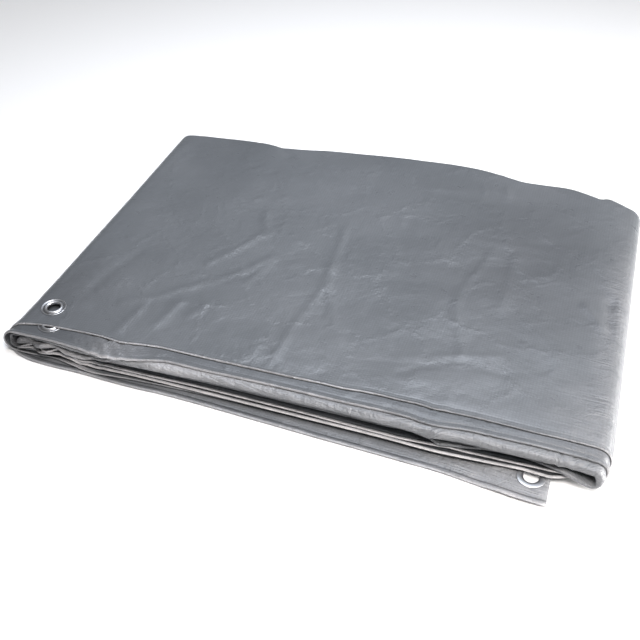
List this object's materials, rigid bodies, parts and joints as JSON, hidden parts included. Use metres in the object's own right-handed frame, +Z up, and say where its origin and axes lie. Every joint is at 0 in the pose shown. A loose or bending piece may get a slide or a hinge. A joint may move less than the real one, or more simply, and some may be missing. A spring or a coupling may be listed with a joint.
{
  "type": "folded tarp",
  "caption": "Folded grey hemmed tarp: a flat rectangular pack of coated cloth with a rolled front fold, a loose hem flap at the front and metal eyelets.",
  "frame": {"origin": "centre of the bounding box on the floor under the pack", "axes": "+Z up from the floor, +X to the right along the front, and the front, with the hem edges and the loose flap, towards -Y"},
  "size_m": [0.547, 0.431, 0.0342],
  "materials": {
    "Coated_Tarp_Cloth": "woven plastic cloth with a satin coating",
    "Hem_Cloth": "the same cloth turned over and welded",
    "Nickel_Plate": "nickel-plated, smooth"
  },
  "bodies": {
    "root": {"Tarp_Cloth": "Coated_Tarp_Cloth", "Hem_One": "Hem_Cloth", "Hem_Two": "Hem_Cloth", "Eyelet_Top": "Nickel_Plate", "Eyelet_Second": "Nickel_Plate", "Eyelet_Flap": "Nickel_Plate"}
  },
  "joints": []
}
